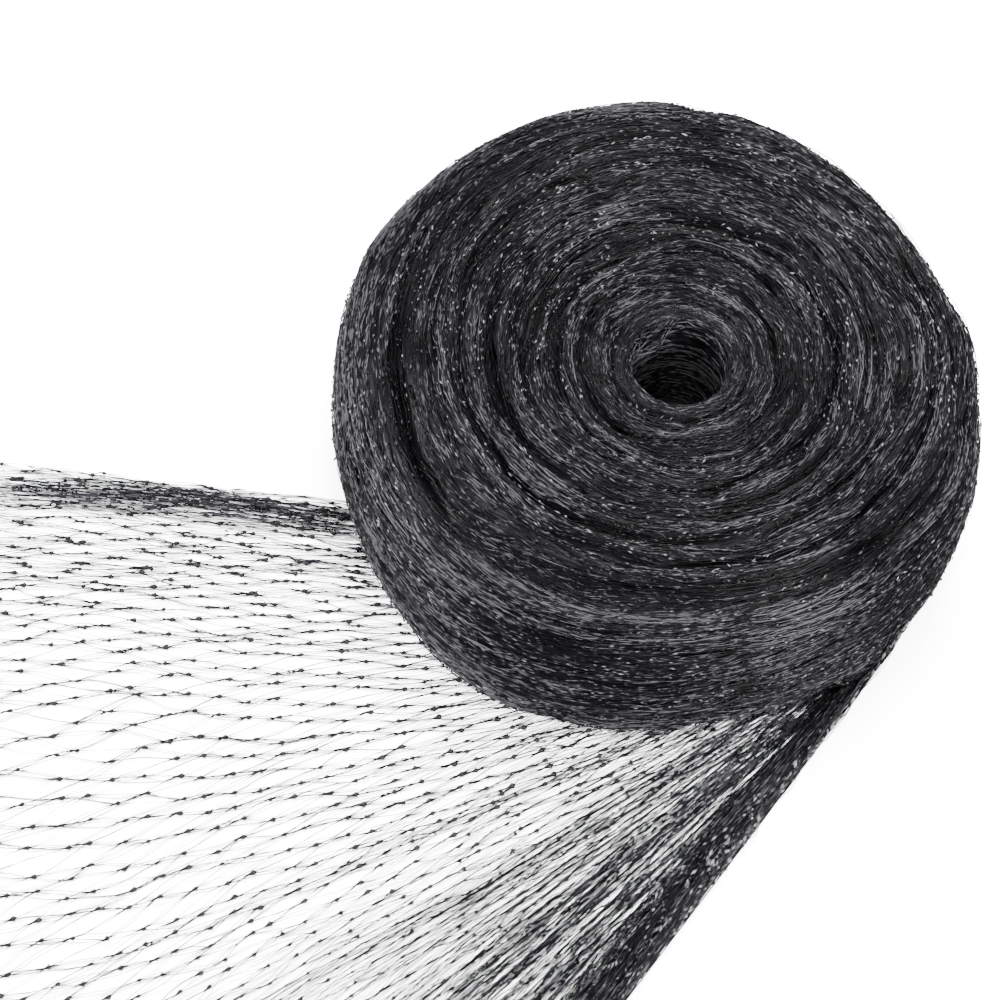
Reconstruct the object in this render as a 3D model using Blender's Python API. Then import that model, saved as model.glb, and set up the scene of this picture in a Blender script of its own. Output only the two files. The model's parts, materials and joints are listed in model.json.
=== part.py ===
"""Bird netting: a roll of knotted net, bunched and wound, lying on its end with its loose end fanned out.

Metres, +Z up. The net is drawn shut into a thick bunch and wound flat like a wheel round an open core. The
last turn leaves the rim at the front right, runs down to the ground and spreads into a fan one net thick,
part of it under the roll. The row's origin is the middle of the underside of the whole thing's box.
"""
import math
from collections import namedtuple

import bpy
from mathutils import Vector

# A stretch of the outline, a crevice or the fan that stands out or sinks: its middle, how far it reaches on
# both sides, and by how much.
Stretch = namedtuple("Stretch", "middle_deg spread_deg rise")

# A crevice of the end face: it runs nearly round, a little off centre, and opens deeper over one stretch.
Crevice = namedtuple("Crevice", "radius off_centre towards_deg depth deepest")

# The roll, about the axis of its core.
HEIGHT = 0.0765          # the end face at its outer turns
FACE_DISH = 0.0130       # how much lower the face lies round the core
LEVEL_RADIUS = 0.0803    # the face is level from here out
CORE_RADIUS = 0.0156
CORE_RIM = 0.0020        # rounding where the face turns down into the core
OUTER_RADIUS = 0.1113    # at the widest, part way up the side
OUTER_SHIFT = 0.0056     # the outer turns are looser, so thicker, on the -X side
WIDEST_HEIGHT = 0.0270
FLOOR_RADIUS_LOSS = 0.0065   # the side draws in about this much from its widest down to the ground
TURN_CROWN = 0.0014      # each turn of the face stands this proud of the crevices beside it
LEAN = 0.32              # a turn leans into an open crevice from this share of its width
WRAP_DROP = 0.0040       # the outermost turn lies this much lower than the face
SEGMENTS = 72

# Bulges and flats of the outline, round the core.
OUTLINE = (
    Stretch(30.0, 33.0, -0.0123),
    Stretch(125.0, 42.0, 0.0064),
    Stretch(238.0, 22.0, 0.0042),
    Stretch(285.0, 22.0, -0.0016),
    Stretch(316.0, 11.0, -0.0006),
    Stretch(157.0, 14.0, 0.0025),
    Stretch(342.0, 10.0, -0.0010),
    Stretch(6.0, 8.0, 0.0030),
    Stretch(55.0, 16.0, -0.0006),
)

# Where the foot of the side lies further in, or less far, than that even loss.
FOOT_LOSSES = (
    Stretch(-100.0, 42.0, 0.0030),
    Stretch(-38.0, 24.0, -0.0034),
)

# The crevices between the turns of the face, from the core out. The last is where the outermost turn lies
# against the face, and it opens a second time at the front.
CREVICES = (
    Crevice(0.0235, 0.0008, 40.0, 0.0006, Stretch(-60.0, 60.0, 0.0006)),
    Crevice(0.0335, 0.0012, 215.0, 0.0008, Stretch(-142.0, 42.0, 0.0030)),
    Crevice(0.0430, 0.0012, -30.0, 0.0008, Stretch(70.0, 50.0, 0.0016)),
    Crevice(0.0520, 0.0016, 200.0, 0.0008, Stretch(-12.0, 40.0, 0.0034)),
    Crevice(0.0625, 0.0010, 170.0, 0.0008, Stretch(-166.0, 30.0, 0.0040)),
    Crevice(0.0728, 0.0012, -150.0, 0.0008, Stretch(-140.0, 36.0, 0.0026)),
    Crevice(0.0828, 0.0012, 30.0, 0.0010, Stretch(-78.0, 34.0, 0.0022)),
    Crevice(0.0920, 0.0015, 110.0, 0.0014, Stretch(-172.0, 34.0, 0.0095)),
)
SECOND_OPENING = Stretch(-42.0, 24.0, 0.0040)
LAST_SWINGS_OUT = Stretch(-147.0, 17.0, 0.0050)   # and over this stretch the last crevice lies further out
FACE_FOLLOWS = 0.48      # the face's outer turns take up this share of the outline's bulges and flats

# The loose end: a fan from the point where the last turn leaves the rim.
LEAVES_DEG = -38.8       # azimuth at which the outer selvedge leaves the rim, straight on as a tangent
LEAVES_RADIUS = 0.1062
FAN_LENGTH = 0.3430
FAN_START = 0.0080
FAN_BACK_DEG = 169.0     # direction of the fan's back edge
FAN_FRONT_DEG = LEAVES_DEG + 270.4
BACK_BOW = 0.0092        # the back edge bows out this much half way along
BACK_BOW_SPREAD_DEG = 14.0
NET_THICKNESS = 0.0020
END_WAVE = 0.0025        # the cut end wanders this much
END_WAVE_RATE = 5.3      # radians of the wave to a radian of the fan
FAN_ROWS = 17

# Gathered edges and folds that run out from the roll, as thickness over the single net.
FOLDS = (
    Stretch(171.2, 1.1, 0.0042),
    Stretch(177.0, 1.5, 0.0004),
    Stretch(186.5, 1.8, 0.0006),
    Stretch(195.0, 1.6, 0.0005),
    Stretch(202.5, 1.3, 0.0010),
    Stretch(207.5, 1.2, 0.0008),
    Stretch(212.5, 1.3, 0.0015),
    Stretch(217.0, 1.3, 0.0017),
    Stretch(222.0, 1.6, 0.0030),
    Stretch(228.2, 2.0, 0.0052),
)
FOLD_FOOT = 1.4          # a fold's foot lies this many spreads from its crest
LEAST_STEP_DEG = 0.5     # between two lines of the fan's mesh
PRESSED_MARGIN = 0.0080  # the net lies pressed flat under the roll and this far beyond it
SWELL_LENGTH = 0.0300    # and reaches its full thickness over this length

# The foot: the last turn fills the corner between the roll's side and the fan's front edge.
FOOT_SWEEP_DEG = 24.0
FOOT_HEIGHT = 0.0300
FOOT_END_HEIGHT = 0.0050

LAY_GAP = 0.0003         # between the fan and the hollow of the roll's underside over it
REST_MARGIN = 0.0300     # the underside touches the ground from this far beyond the fan's back edge


def smooth(value):
    """0 below 0, 1 above 1, and an even S between."""
    part = min(max(value, 0.0), 1.0)
    return part * part * (3.0 - 2.0 * part)


def rise_at(stretch, angle_deg):
    """The rise of a stretch at one angle: whole at its middle, fading over its spread on both sides."""
    apart = (angle_deg - stretch.middle_deg + 180.0) % 360.0 - 180.0
    return stretch.rise * math.exp(-((apart / stretch.spread_deg) ** 2))


def leaving_point():
    """Where the outer selvedge leaves the rim."""
    angle = math.radians(LEAVES_DEG)
    return Vector((LEAVES_RADIUS * math.cos(angle), LEAVES_RADIUS * math.sin(angle)))


def outline_rise(azimuth_deg):
    """How far the outline stands out of a plain circle at one azimuth."""
    return sum(rise_at(stretch, azimuth_deg) for stretch in OUTLINE)


def outline_radius(azimuth_deg):
    """The roll's widest radius from the core's axis at one azimuth."""
    return OUTER_RADIUS - OUTER_SHIFT * math.cos(math.radians(azimuth_deg)) + outline_rise(azimuth_deg)


def floor_loss(azimuth_deg):
    """How much the side draws in from its widest down to the ground at one azimuth."""
    return FLOOR_RADIUS_LOSS + sum(rise_at(stretch, azimuth_deg) for stretch in FOOT_LOSSES)


def foot_reach(azimuth_deg, height):
    """How far the foot stands out from the side: up to the front selvedge's tangent line, less higher up."""
    past = (LEAVES_DEG - azimuth_deg) % 360.0
    if past >= FOOT_SWEEP_DEG:
        return 0.0
    line_radius = LEAVES_RADIUS / math.cos(math.radians(past))
    top = FOOT_HEIGHT + (FOOT_END_HEIGHT - FOOT_HEIGHT) * past / FOOT_SWEEP_DEG
    side = outline_radius(azimuth_deg) - floor_loss(azimuth_deg)
    tapers = 1.0 - smooth((past - 0.75 * FOOT_SWEEP_DEG) / (0.25 * FOOT_SWEEP_DEG))
    return max(line_radius - side, 0.0) * smooth(1.0 - height / top) * tapers


def crevice_at(crevice, azimuth_deg):
    """The radius and the depth of one crevice at one azimuth."""
    radius = crevice.radius + crevice.off_centre * math.cos(math.radians(azimuth_deg - crevice.towards_deg))
    radius += FACE_FOLLOWS * outline_rise(azimuth_deg) * (crevice.radius / OUTER_RADIUS) ** 2
    depth = crevice.depth + rise_at(crevice.deepest, azimuth_deg)
    if crevice is CREVICES[-1]:
        depth += rise_at(SECOND_OPENING, azimuth_deg)
        radius += rise_at(LAST_SWINGS_OUT, azimuth_deg)
    return radius, depth


def face_height(radius):
    """The end face without its crevices: lowest round the core, level at the outer turns."""
    across = (radius - CORE_RADIUS) / (LEVEL_RADIUS - CORE_RADIUS)
    return HEIGHT - FACE_DISH * (1.0 - smooth(across))


def face_points(azimuth_deg):
    """The end face from the core's rim to the last crevice: a rounded crown for each turn."""
    rim_radius = CORE_RADIUS + CORE_RIM
    points = [(rim_radius, face_height(rim_radius))]
    inner_radius, inner_depth = rim_radius, 0.0
    for crevice in CREVICES:
        radius, depth = crevice_at(crevice, azimuth_deg)
        for part in (0.22, 0.5, 0.78):
            across = inner_radius + part * (radius - inner_radius)
            sunk = inner_depth * max(0.0, LEAN - part) + depth * max(0.0, part + LEAN - 1.0)
            crown = TURN_CROWN * math.sin(math.pi * part)
            points.append((across, face_height(across) + crown - sunk))
        points.append((radius, face_height(radius) - depth))
        inner_radius, inner_depth = radius, depth
    return points


def side_points(azimuth_deg):
    """The outermost turn: up out of the last crevice, over its lip, out to the widest and in to the ground."""
    widest = outline_radius(azimuth_deg)
    last_radius, _ = crevice_at(CREVICES[-1], azimuth_deg)
    lip_radius = last_radius + 0.16 * (widest - last_radius)
    lip_height = HEIGHT - WRAP_DROP
    points = []
    for turn_deg in (0.0, 24.0, 44.0, 62.0, 78.0, 90.0):
        turn = math.radians(turn_deg)
        points.append((lip_radius + (widest - lip_radius) * math.sin(turn),
                       WIDEST_HEIGHT + (lip_height - WIDEST_HEIGHT) * math.cos(turn)))
    floor_radius = widest - floor_loss(azimuth_deg)
    lowest = underside_height(floor_radius, azimuth_deg)
    for turn_deg in (35.0, 60.0, 78.0, 90.0):
        turn = math.radians(turn_deg)
        points.append((floor_radius + (widest - floor_radius) * math.cos(turn),
                       lowest + (WIDEST_HEIGHT - lowest) * (1.0 - math.sin(turn))))
    return [(radius + foot_reach(azimuth_deg, height), height) for radius, height in points]


def underside_height(radius, azimuth_deg):
    """0 where the roll rests on the ground, and just clear of the fan where that lies under it."""
    angle, back = math.radians(azimuth_deg), math.radians(FAN_BACK_DEG)
    place = Vector((radius * math.cos(angle), radius * math.sin(angle))) - leaving_point()
    beyond = place.dot(Vector((math.sin(back), -math.cos(back))))
    return 0.0 if beyond > REST_MARGIN else NET_THICKNESS + LAY_GAP


def underside_points(azimuth_deg):
    """The underside from near the side in to the core, then up the core's wall."""
    floor_radius = side_points(azimuth_deg)[-1][0]
    inner_radius = CORE_RADIUS + CORE_RIM
    points = []
    for part in (0.22, 0.44, 0.66, 0.86, 1.0):
        radius = floor_radius + part * (inner_radius - floor_radius)
        points.append((radius, underside_height(radius, azimuth_deg)))
    rim_height = face_height(inner_radius)
    points.append((CORE_RADIUS, CORE_RIM))
    points.append((CORE_RADIUS, 0.5 * rim_height))
    points.append((CORE_RADIUS, rim_height - CORE_RIM))
    return points


def wound_roll():
    """The roll: its section carried round the core and joined to itself."""
    mesh = bpy.data.meshes.new("net_roll")
    verts, faces = [], []
    for step in range(SEGMENTS):
        azimuth_deg = 360.0 * step / SEGMENTS
        angle = math.radians(azimuth_deg)
        section = face_points(azimuth_deg) + side_points(azimuth_deg) + underside_points(azimuth_deg)
        count = len(section)
        verts += [(radius * math.cos(angle), radius * math.sin(angle), height) for radius, height in section]
        here, there = step * count, (step + 1) % SEGMENTS * count
        for place in range(count):
            ahead = (place + 1) % count
            faces.append((here + place, here + ahead, there + ahead, there + place))
    mesh.from_pydata(verts, [], faces)
    return mesh


def net_thickness(place, direction_deg):
    """How thick the fan is: its folds and gathered edges, pressed flat where the roll lies on it."""
    folds = sum(rise_at(fold, direction_deg) for fold in FOLDS)
    azimuth_deg = math.degrees(math.atan2(place.y, place.x))
    edge = outline_radius(azimuth_deg) + foot_reach(azimuth_deg, 0.0) + PRESSED_MARGIN
    return NET_THICKNESS + folds * smooth((place.length - edge) / SWELL_LENGTH)


def fan_place(part, direction_deg):
    """A point of the fan, part of the way along the strand that runs out in one direction."""
    angle = math.radians(direction_deg)
    away = Vector((math.cos(angle), math.sin(angle)))
    distance = FAN_START + part * (FAN_LENGTH - FAN_START)
    distance += END_WAVE * part ** 4 * math.sin(END_WAVE_RATE * angle)
    back = 1.0 - smooth((direction_deg - FAN_BACK_DEG) / BACK_BOW_SPREAD_DEG)
    bow = BACK_BOW * back * math.sin(math.pi * part)
    return leaving_point() + distance * away + bow * Vector((away.y, -away.x))


def fan_directions():
    """The fan's strand directions: on each fold's crest and foot, so that every fold shows."""
    directions = {FAN_BACK_DEG, FAN_FRONT_DEG}
    for fold in FOLDS:
        foot = FOLD_FOOT * fold.spread_deg
        directions |= {fold.middle_deg - foot, fold.middle_deg, fold.middle_deg + foot}
    inside = sorted(d for d in directions if FAN_BACK_DEG <= d <= FAN_FRONT_DEG)
    return [d for n, d in enumerate(inside) if n == 0 or d - inside[n - 1] > LEAST_STEP_DEG]


def fanned_net():
    """The loose end: a flat underside, a folded top, and a low wall round its outline."""
    mesh = bpy.data.meshes.new("net_sheet")
    directions = fan_directions()
    across, along = len(directions), FAN_ROWS + 1
    top, bottom = [], []
    for row in range(along):
        for direction_deg in directions:
            place = fan_place(row / FAN_ROWS, direction_deg)
            top.append((place.x, place.y, net_thickness(place, direction_deg)))
            bottom.append((place.x, place.y, 0.0))
    under = len(top)
    faces = []
    for row in range(along - 1):
        for column in range(across - 1):
            corner = row * across + column
            faces.append((corner, corner + across, corner + across + 1, corner + 1))
    start, end = range(across), range((along - 1) * across, along * across)
    back, front = range(0, along * across, across), range(across - 1, along * across, across)
    outline = list(start) + list(front)[1:] + list(end)[-2::-1] + list(back)[-2:0:-1]
    for place, corner in enumerate(outline):
        ahead = outline[(place + 1) % len(outline)]
        faces.append((corner, ahead, ahead + under, corner + under))
    faces += [tuple(corner + under for corner in reversed(quad)) for quad in faces[:(along - 1) * (across - 1)]]
    mesh.from_pydata(top + bottom, [], faces)
    return mesh


def netting_material(name, colour):
    """Black nylon monofilament, drawn and set, with a slight gloss."""
    material = bpy.data.materials.new(name)
    material.use_nodes = True
    shader = material.node_tree.nodes["Principled BSDF"]
    shader.inputs["Base Color"].default_value = (*colour, 1.0)
    shader.inputs["Roughness"].default_value = 0.42
    shader.inputs["Metallic"].default_value = 0.0
    return material


def place_on_origin(objects):
    """Moves every mesh alike, so that the middle of the whole thing's underside is at the origin."""
    corners = [vertex.co for item in objects for vertex in item.data.vertices]
    middle = [0.5 * (min(c[axis] for c in corners) + max(c[axis] for c in corners)) for axis in (0, 1)]
    for item in objects:
        for vertex in item.data.vertices:
            vertex.co.x -= middle[0]
            vertex.co.y -= middle[1]


for old in list(bpy.data.objects):
    bpy.data.objects.remove(old, do_unlink=True)

pieces = []
for made, colour in ((wound_roll(), (0.020, 0.021, 0.026)), (fanned_net(), (0.028, 0.029, 0.034))):
    made.materials.append(netting_material(made.name + "_nylon", colour))
    piece = bpy.data.objects.new(made.name, made)
    bpy.context.scene.collection.objects.link(piece)
    made.shade_smooth()
    pieces.append(piece)
place_on_origin(pieces)
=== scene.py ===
"""Bird netting, as it looks: a roll of knotted black net lying on its end, its loose end fanned out flat.

Metres, +Z up, in the row's frame. Each section below is one group of pieces, in the order they are made.
"""
import json
import math
from collections import namedtuple

import bpy
import numpy as np
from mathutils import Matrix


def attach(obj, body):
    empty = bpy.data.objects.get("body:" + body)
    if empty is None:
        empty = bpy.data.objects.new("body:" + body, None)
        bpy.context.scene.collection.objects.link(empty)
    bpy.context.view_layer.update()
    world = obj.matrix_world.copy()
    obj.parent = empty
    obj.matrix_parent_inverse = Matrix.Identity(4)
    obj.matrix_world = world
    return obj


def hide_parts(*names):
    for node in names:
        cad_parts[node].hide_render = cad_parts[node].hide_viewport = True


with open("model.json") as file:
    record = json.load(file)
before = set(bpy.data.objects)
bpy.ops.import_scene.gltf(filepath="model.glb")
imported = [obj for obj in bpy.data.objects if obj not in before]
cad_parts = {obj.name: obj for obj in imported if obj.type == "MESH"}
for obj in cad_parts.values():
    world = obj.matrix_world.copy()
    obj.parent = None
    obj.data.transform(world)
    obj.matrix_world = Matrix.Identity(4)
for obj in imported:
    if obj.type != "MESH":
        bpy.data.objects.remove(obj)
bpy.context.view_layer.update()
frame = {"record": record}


# ---- Camera, ground and light ------------------------------------------------------------------------
# A white table under a large soft overhead light and a low fill from the left, as for a catalogue. The
# camera looks down on the roll from the front; it stands well back, so the roll hardly tapers.
opening_low, opening_high = frame["record"]["physics"]["openings"][0]["box_m"]
CORE_X = 0.5 * (opening_low[0] + opening_high[0])
CORE_Y = 0.5 * (opening_low[1] + opening_high[1])

VIEW_FROM_CORE = (-0.0597, -0.0181)   # the point on the ground that the camera looks at
VIEW_DISTANCE = 0.7
VIEW_RISE_DEG = 62.13
VIEW_LENS = 70.6
VIEW_SENSOR = 36


def aimed(item, place, target):
    """Puts a camera or a light at a place, its -Z axis towards a target and its Y axis upwards."""
    away = [p - t for p, t in zip(place, target)]
    item.location = place
    item.rotation_mode = "XYZ"
    item.rotation_euler = (
        math.atan2(math.hypot(away[0], away[1]), away[2]),
        0,
        math.atan2(away[0], -away[1]),
    )
    bpy.context.scene.collection.objects.link(item)


view_target = (CORE_X + VIEW_FROM_CORE[0], CORE_Y + VIEW_FROM_CORE[1], 0)
view_rise = math.radians(VIEW_RISE_DEG)
view_place = (
    view_target[0],
    view_target[1] - VIEW_DISTANCE * math.cos(view_rise),
    VIEW_DISTANCE * math.sin(view_rise),
)
view_camera = bpy.data.objects.new("view_camera", bpy.data.cameras.new("view_camera"))
view_camera.data.lens = VIEW_LENS
view_camera.data.sensor_width = VIEW_SENSOR
aimed(view_camera, view_place, view_target)
bpy.context.scene.camera = view_camera

LIT_HEIGHT = 0.04        # the lights point at the core, this far above the table
# name, place from the core, size, power in watts
SOFT_LIGHTS = (
    ("overhead_light", (0.1, 0.45, 1.3), 0.45, 12),
    ("high_light", (-0.05, -0.32, 1.3), 0.3, 3),
    ("left_light", (-1.15, 0.05, 0.6), 0.45, 14),
    ("front_light", (0.75, -1.05, 0.75), 0.4, 18),
)
for light_name, (light_x, light_y, light_z), light_size, light_power in SOFT_LIGHTS:
    lamp = bpy.data.lights.new(light_name, "AREA")
    lamp.shape = "DISK"
    lamp.size = light_size
    lamp.energy = light_power
    lamp_item = bpy.data.objects.new(light_name, lamp)
    aimed(lamp_item, (CORE_X + light_x, CORE_Y + light_y, light_z), (CORE_X, CORE_Y, LIT_HEIGHT))

SKY_STRENGTH = 0.4
GROUND_REACH = 6
GROUND_ALBEDO = 0.8
GROUND_SHOWN = 11.5      # the table is lit far past white where the camera sees it


def new_finish(name):
    """A new material, and its node tree."""
    finish = bpy.data.materials.new(name)
    finish.use_nodes = True
    return finish, finish.node_tree


def new_node(tree, kind, inputs=None, **settings):
    """A new node of a kind, with its settings and the fixed values of its inputs."""
    node = tree.nodes.new("ShaderNode" + kind)
    for setting, value in settings.items():
        setattr(node, setting, value)
    for socket, value in (inputs or {}).items():
        node.inputs[socket].default_value = value
    return node


def wired(tree, *wires):
    """Links, each from a node's output to another node's input."""
    for node, output, to_node, socket in wires:
        tree.links.new(node.outputs[output], to_node.inputs[socket])


studio = bpy.data.worlds.new("studio")
studio.use_nodes = True
studio_sky = studio.node_tree.nodes["Background"]
studio_sky.inputs["Color"].default_value = (1, 1, 1, 1)
studio_sky.inputs["Strength"].default_value = SKY_STRENGTH
bpy.context.scene.world = studio

ground_mesh = bpy.data.meshes.new("ground")
ground_corners = [(x * GROUND_REACH, y * GROUND_REACH, 0) for x, y in ((-1, -1), (1, -1), (1, 1), (-1, 1))]
ground_mesh.from_pydata(ground_corners, [], [(0, 1, 2, 3)])
ground = bpy.data.objects.new("ground", ground_mesh)
bpy.context.scene.collection.objects.link(ground)

ground_finish, ground_tree = new_finish("white_table")
ground_tree.nodes.clear()
ground_path = new_node(ground_tree, "LightPath")
ground_shade = new_node(ground_tree, "MapRange", {"To Min": GROUND_ALBEDO, "To Max": GROUND_SHOWN})
ground_diffuse = new_node(ground_tree, "BsdfDiffuse")
ground_output = new_node(ground_tree, "OutputMaterial")
wired(
    ground_tree,
    (ground_path, "Is Camera Ray", ground_shade, "Value"),
    (ground_shade, "Result", ground_diffuse, "Color"),
    (ground_diffuse, "BSDF", ground_output, "Surface"),
)
ground_mesh.materials.append(ground_finish)


# ---- The wound roll ----------------------------------------------------------------------------------
# Metres of knotted black nylon net, drawn shut into a thick bunch and wound flat round an open core. The
# turns lie against each other, with crevices between them, and each turn is a bundle of smaller locks.
Stretch = namedtuple("Stretch", "middle_deg spread_deg rise")
Crevice = namedtuple("Crevice", "radius off_centre towards_deg depth deepest")

HEIGHT = 0.0765
FACE_DISH = 0.013
LEVEL_RADIUS = 0.0803
CORE_RADIUS = 0.0164     # the strands stand in from it
CORE_RIM = 0.0012
OUTER_RADIUS = 0.1105    # the strands stand out from it
OUTER_SHIFT = 0.0056
WIDEST_HEIGHT = 0.027
FLOOR_RADIUS_LOSS = 0.0065
TURN_CROWN = 0.0014
LEAN = 0.32              # a crevice draws down this share of the turns beside it
WRAP_DROP = 0.004
OUTLINE = (
    Stretch(30, 33, -0.0123),
    Stretch(125, 42, 0.0064),
    Stretch(238, 22, 0.0042),
    Stretch(285, 22, -0.0016),
    Stretch(316, 11, -0.0006),
    Stretch(157, 14, 0.0025),
    Stretch(-29, 9, 0.0009),
    Stretch(4, 9, 0.0036),
    Stretch(55, 16, -0.0006),
)
FOOT_LOSSES = (
    Stretch(-100, 42, 0.003),
    Stretch(-38, 24, -0.0034),
)
CREVICES = (
    Crevice(0.0235, 0.0008, 40, 0.0006, Stretch(-60, 60, 0.0006)),
    Crevice(0.0335, 0.0012, 215, 0.0008, Stretch(-142, 42, 0.003)),
    Crevice(0.043, 0.0012, -30, 0.0008, Stretch(70, 50, 0.0016)),
    Crevice(0.052, 0.0016, 200, 0.0008, Stretch(-12, 40, 0.0034)),
    Crevice(0.0625, 0.001, 170, 0.0008, Stretch(-166, 30, 0.004)),
    Crevice(0.0728, 0.0012, -150, 0.0008, Stretch(-140, 36, 0.0026)),
    Crevice(0.0828, 0.0012, 30, 0.001, Stretch(-78, 34, 0.0022)),
    Crevice(0.092, 0.0015, 110, 0.0014, Stretch(-172, 34, 0.0095)),
)
SECOND_OPENING = Stretch(-42, 24, 0.004)
LAST_SWINGS_OUT = Stretch(-147, 17, 0.005)
FACE_FOLLOWS = 0.48      # of the outline's bells, for a crevice at the rim; less further in
LEAVES_DEG = -38.8       # where the loose end leaves the rim
LEAVES_RADIUS = 0.1062
FOOT_SWEEP_DEG = 24
FOOT_FADE_DEG = 17
FOOT_HEIGHT = 0.03
FOOT_END_HEIGHT = 0.005
FAN_BACK_DEG = 169
NET_THICKNESS = 0.002
LAY_GAP = 0.0003
REST_MARGIN = 0.03

TABLE_COLUMNS = 720      # of the table that holds the roll's surface: round the core
TABLE_ROWS = 2400        # and along its section
NORMAL_REACH = 8         # rows on both sides that a normal is taken over


def smooth(value):
    """0 below 0, 1 above 1, and t*t*(3-2t) between."""
    part = np.clip(value, 0, 1)
    return part * part * (3 - 2 * part)


def rise_at(stretch, angle_deg):
    """A bell over one stretch: rise * exp(-(angle from its middle / spread) squared)."""
    apart = (angle_deg - stretch.middle_deg + 180) % 360 - 180
    return stretch.rise * np.exp(-((apart / stretch.spread_deg) ** 2))


def rises_at(stretches, angle_deg):
    """The sum of the bells over several stretches."""
    return sum(rise_at(stretch, angle_deg) for stretch in stretches)


def outline_radius(azimuth_deg):
    """The widest radius: a circle, shifted a little to one side, plus the outline's bells."""
    return OUTER_RADIUS - OUTER_SHIFT * np.cos(np.radians(azimuth_deg)) + rises_at(OUTLINE, azimuth_deg)


def floor_radius(azimuth_deg):
    """The radius on the ground: the widest one, less an even loss and its bells."""
    return outline_radius(azimuth_deg) - (FLOOR_RADIUS_LOSS + rises_at(FOOT_LOSSES, azimuth_deg))


def foot_reach(azimuth_deg, height):
    """How far the foot stands out: up to the front selvedge's tangent line, less with height, fading in
    from where the net leaves and out again over the last quarter of its sweep."""
    past = (LEAVES_DEG - azimuth_deg) % 360
    inside = past < FOOT_SWEEP_DEG
    past = np.where(inside, past, 0)
    line_radius = LEAVES_RADIUS / np.cos(np.radians(past))
    top = FOOT_HEIGHT + (FOOT_END_HEIGHT - FOOT_HEIGHT) * past / FOOT_SWEEP_DEG
    tapers = 1 - smooth((past - 0.75 * FOOT_SWEEP_DEG) / (0.25 * FOOT_SWEEP_DEG))
    reach = np.maximum(line_radius - floor_radius(azimuth_deg), 0) * smooth(1 - height / top) * tapers
    return np.where(inside, reach * smooth(past / FOOT_FADE_DEG), 0)


def crevice_at(crevice, azimuth_deg):
    """The radius and depth of a crevice: a circle a little off centre, deepest over its own bell. The last
    one opens a second time and swings out where the outermost turn lies loose."""
    radius = crevice.radius + crevice.off_centre * np.cos(np.radians(azimuth_deg - crevice.towards_deg))
    radius = radius + FACE_FOLLOWS * rises_at(OUTLINE, azimuth_deg) * (crevice.radius / OUTER_RADIUS) ** 2
    depth = crevice.depth + rise_at(crevice.deepest, azimuth_deg)
    if crevice is CREVICES[-1]:
        depth = depth + rise_at(SECOND_OPENING, azimuth_deg)
        radius = radius + rise_at(LAST_SWINGS_OUT, azimuth_deg)
    return radius, depth


def face_height(radius):
    """The end face without crevices: a dish that rises by an even S from the core to the level turns."""
    return HEIGHT - FACE_DISH * (1 - smooth((radius - CORE_RADIUS) / (LEVEL_RADIUS - CORE_RADIUS)))


def underside_height(radius, azimuth_deg):
    """0 where the roll rests on the ground, and the fan's thickness plus a gap where it lies on the fan."""
    angle, leaves = np.radians(azimuth_deg), math.radians(LEAVES_DEG)
    back = math.radians(FAN_BACK_DEG)
    x = radius * np.cos(angle) - LEAVES_RADIUS * math.cos(leaves)
    y = radius * np.sin(angle) - LEAVES_RADIUS * math.sin(leaves)
    beyond = x * math.sin(back) - y * math.cos(back)
    return np.where(beyond > REST_MARGIN, 0, NET_THICKNESS + LAY_GAP)


def roll_section(azimuth_deg):
    """The closed section at each azimuth, as radius and height by [azimuth, point]: crowned turns across
    the face, a quarter of an ellipse down the side, another in to the ground, then the underside and the
    core's wall."""
    rim_radius = np.full_like(azimuth_deg, CORE_RADIUS + CORE_RIM)
    points = [(rim_radius, face_height(rim_radius))]
    inner_radius, inner_depth = rim_radius, np.zeros_like(azimuth_deg)
    for crevice in CREVICES:
        radius, depth = crevice_at(crevice, azimuth_deg)
        for part in (0.22, 0.5, 0.78):
            across = inner_radius + part * (radius - inner_radius)
            sunk = inner_depth * max(0, LEAN - part) + depth * max(0, part + LEAN - 1)
            points.append((across, face_height(across) + TURN_CROWN * math.sin(math.pi * part) - sunk))
        points.append((radius, face_height(radius) - depth))
        inner_radius, inner_depth = radius, depth
    face_count = len(points)
    widest = outline_radius(azimuth_deg)
    lip_radius = inner_radius + 0.16 * (widest - inner_radius)
    lip_height = HEIGHT - WRAP_DROP
    for turn in np.radians((0, 24, 44, 62, 78, 90)):
        radius = lip_radius + (widest - lip_radius) * math.sin(turn)
        height = WIDEST_HEIGHT + (lip_height - WIDEST_HEIGHT) * math.cos(turn)
        points.append((radius + foot_reach(azimuth_deg, height), np.full_like(azimuth_deg, height)))
    floor = floor_radius(azimuth_deg)
    lowest = underside_height(floor, azimuth_deg)
    for turn in np.radians((35, 60, 78, 90)):
        radius = floor + (widest - floor) * math.cos(turn)
        height = lowest + (WIDEST_HEIGHT - lowest) * (1 - math.sin(turn))
        points.append((radius + foot_reach(azimuth_deg, height), height))
    side_count = len(points)
    foot_radius = points[-1][0]
    for part in (0.22, 0.44, 0.66, 0.86, 1):
        radius = foot_radius + part * (rim_radius - foot_radius)
        points.append((radius, underside_height(radius, azimuth_deg)))
    wall = np.full_like(azimuth_deg, CORE_RADIUS)
    rim_height = face_height(rim_radius)
    lowest_rim = np.full_like(azimuth_deg, CORE_RIM)
    points += [(wall, lowest_rim), (wall, 0.5 * rim_height), (wall, rim_height - CORE_RIM)]
    section = np.array(points).transpose(2, 0, 1)
    return section, face_count, side_count


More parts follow.
